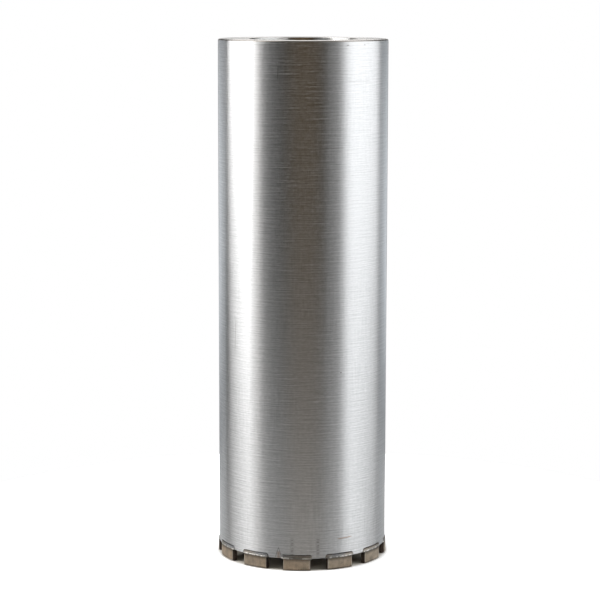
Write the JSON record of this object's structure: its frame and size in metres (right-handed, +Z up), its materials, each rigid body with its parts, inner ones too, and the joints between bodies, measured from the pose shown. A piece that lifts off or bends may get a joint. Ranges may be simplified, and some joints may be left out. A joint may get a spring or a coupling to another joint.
{
  "type": "diamond core bit",
  "caption": "Thin steel tube with a segmented diamond cutting crown at one end and a recessed, internally threaded head at the other, for drilling cores.",
  "frame": {"origin": "on the barrel's axis, level with the cutting faces of the segments, at the bottom centre of the part", "axes": "+Z up the barrel from the cutting crown to the head; -Y through the middle of segment_01"},
  "size_m": [0.152, 0.152, 0.4627],
  "materials": {
    "barrel_steel": "bright-turned, with fine rings round the tube",
    "plate_steel": "faced on a lathe",
    "hub_steel": "turned",
    "weld_metal": "as welded, dressed flush on the head",
    "segment_bond": "matt sintered bronze bond with fine diamond grit",
    "silver_solder": "flowed silver solder with heat tint"
  },
  "bodies": {
    "root": {"barrel": "barrel_steel", "top_plate": "plate_steel", "plate_weld": "weld_metal", "hub": "hub_steel", "hub_weld": "weld_metal", "segment_01": "segment_bond", "segment_02": "segment_bond", "segment_03": "segment_bond", "segment_04": "segment_bond", "segment_05": "segment_bond", "segment_06": "segment_bond", "segment_07": "segment_bond", "segment_08": "segment_bond", "segment_09": "segment_bond", "segment_10": "segment_bond", "segment_11": "segment_bond", "segment_12": "segment_bond", "braze_01": "silver_solder", "braze_02": "silver_solder", "braze_03": "silver_solder", "braze_04": "silver_solder", "braze_05": "silver_solder", "braze_06": "silver_solder", "braze_07": "silver_solder", "braze_08": "silver_solder", "braze_09": "silver_solder", "braze_10": "silver_solder", "braze_11": "silver_solder", "braze_12": "silver_solder"}
  },
  "joints": []
}
